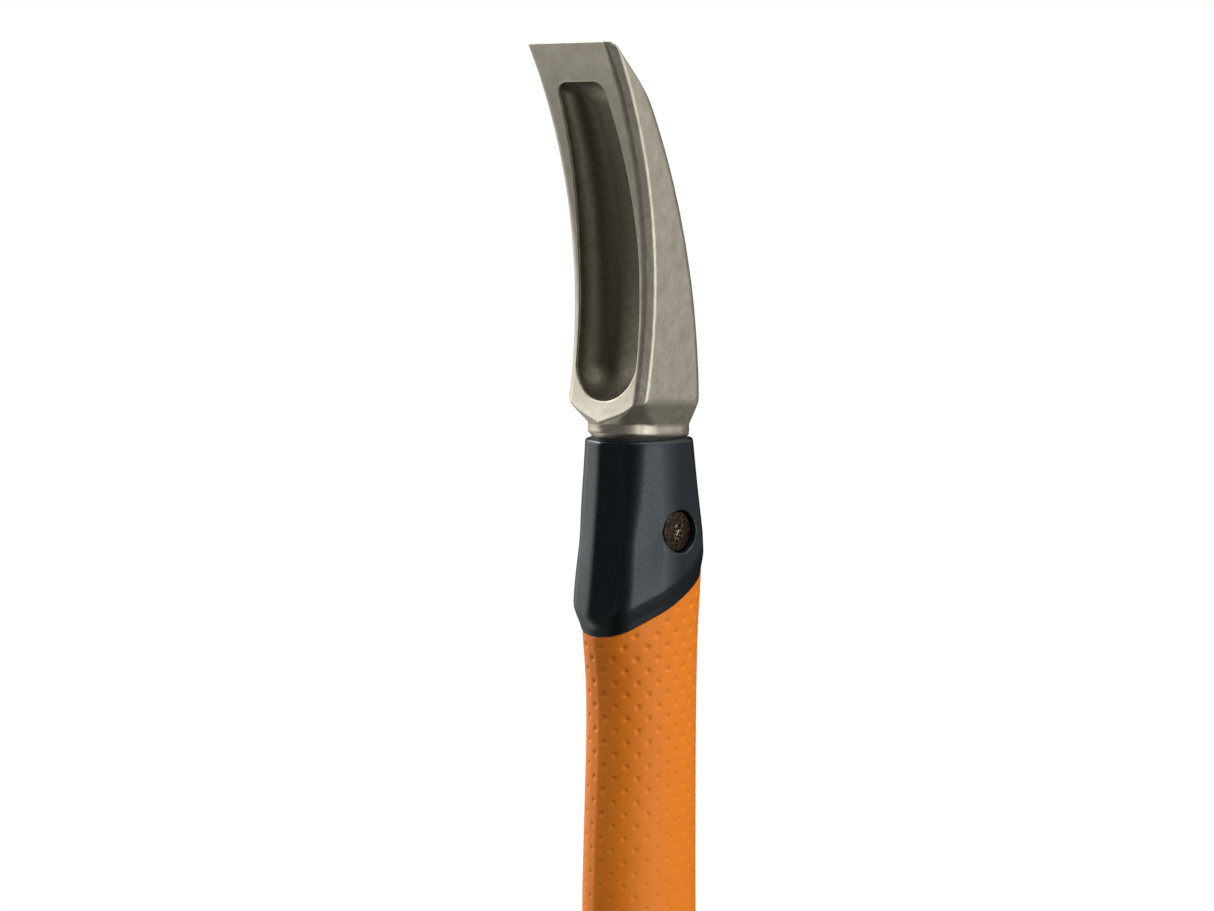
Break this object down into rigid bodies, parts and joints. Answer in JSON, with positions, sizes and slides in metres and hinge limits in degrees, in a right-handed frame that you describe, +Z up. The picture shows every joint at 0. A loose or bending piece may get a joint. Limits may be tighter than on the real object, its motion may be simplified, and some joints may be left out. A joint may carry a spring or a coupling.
{
  "type": "curved digging and prying hand tool",
  "caption": "Long-handled hand tool: curved chisel blade with a hollow front face, dark collar with a cross bolt, oval dimpled orange grip, dark butt cap with a hanging hole.",
  "frame": {"origin": "middle of the flat butt face, on the handle's axis", "axes": "+Z runs up the handle to the blade's edge, -Y is the side that the blade's hollow face looks to, +X is along the head bolt towards its driven end"},
  "size_m": [0.0386, 0.0626, 0.61],
  "materials": {
    "forged_steel": "warm grey satin coat over a fine cast and blasted skin",
    "collar_plastic": "blue-black moulded plastic with a fine sparkling texture",
    "black_oxide_steel": "dark brown-black oxide, blotchy",
    "plain_steel": "plain bright steel",
    "black_rubber": "matt black elastomer",
    "composite": "glass-fibre composite",
    "rigid_foam": "rigid closed-cell foam",
    "orange_grip": "satin orange elastomer with small round dimples",
    "cap_plastic": "black moulded plastic with a fine texture",
    "eyelet_steel": "satin plated steel"
  },
  "bodies": {
    "root": {"blade_head": "forged_steel", "neck_seal": "black_rubber", "collar": "collar_plastic", "head_bolt": "black_oxide_steel", "barrel_nut": "black_oxide_steel", "bolt_washers": "plain_steel", "tang_sleeve": "black_rubber", "tang_pin": "plain_steel", "core_tube": "composite", "core_foam": "rigid_foam", "shock_sleeve": "black_rubber", "grip_sleeve": "orange_grip", "core_plug": "composite", "butt_cap": "cap_plastic", "hang_eyelet": "eyelet_steel", "eyelet_washer": "eyelet_steel"}
  },
  "joints": []
}
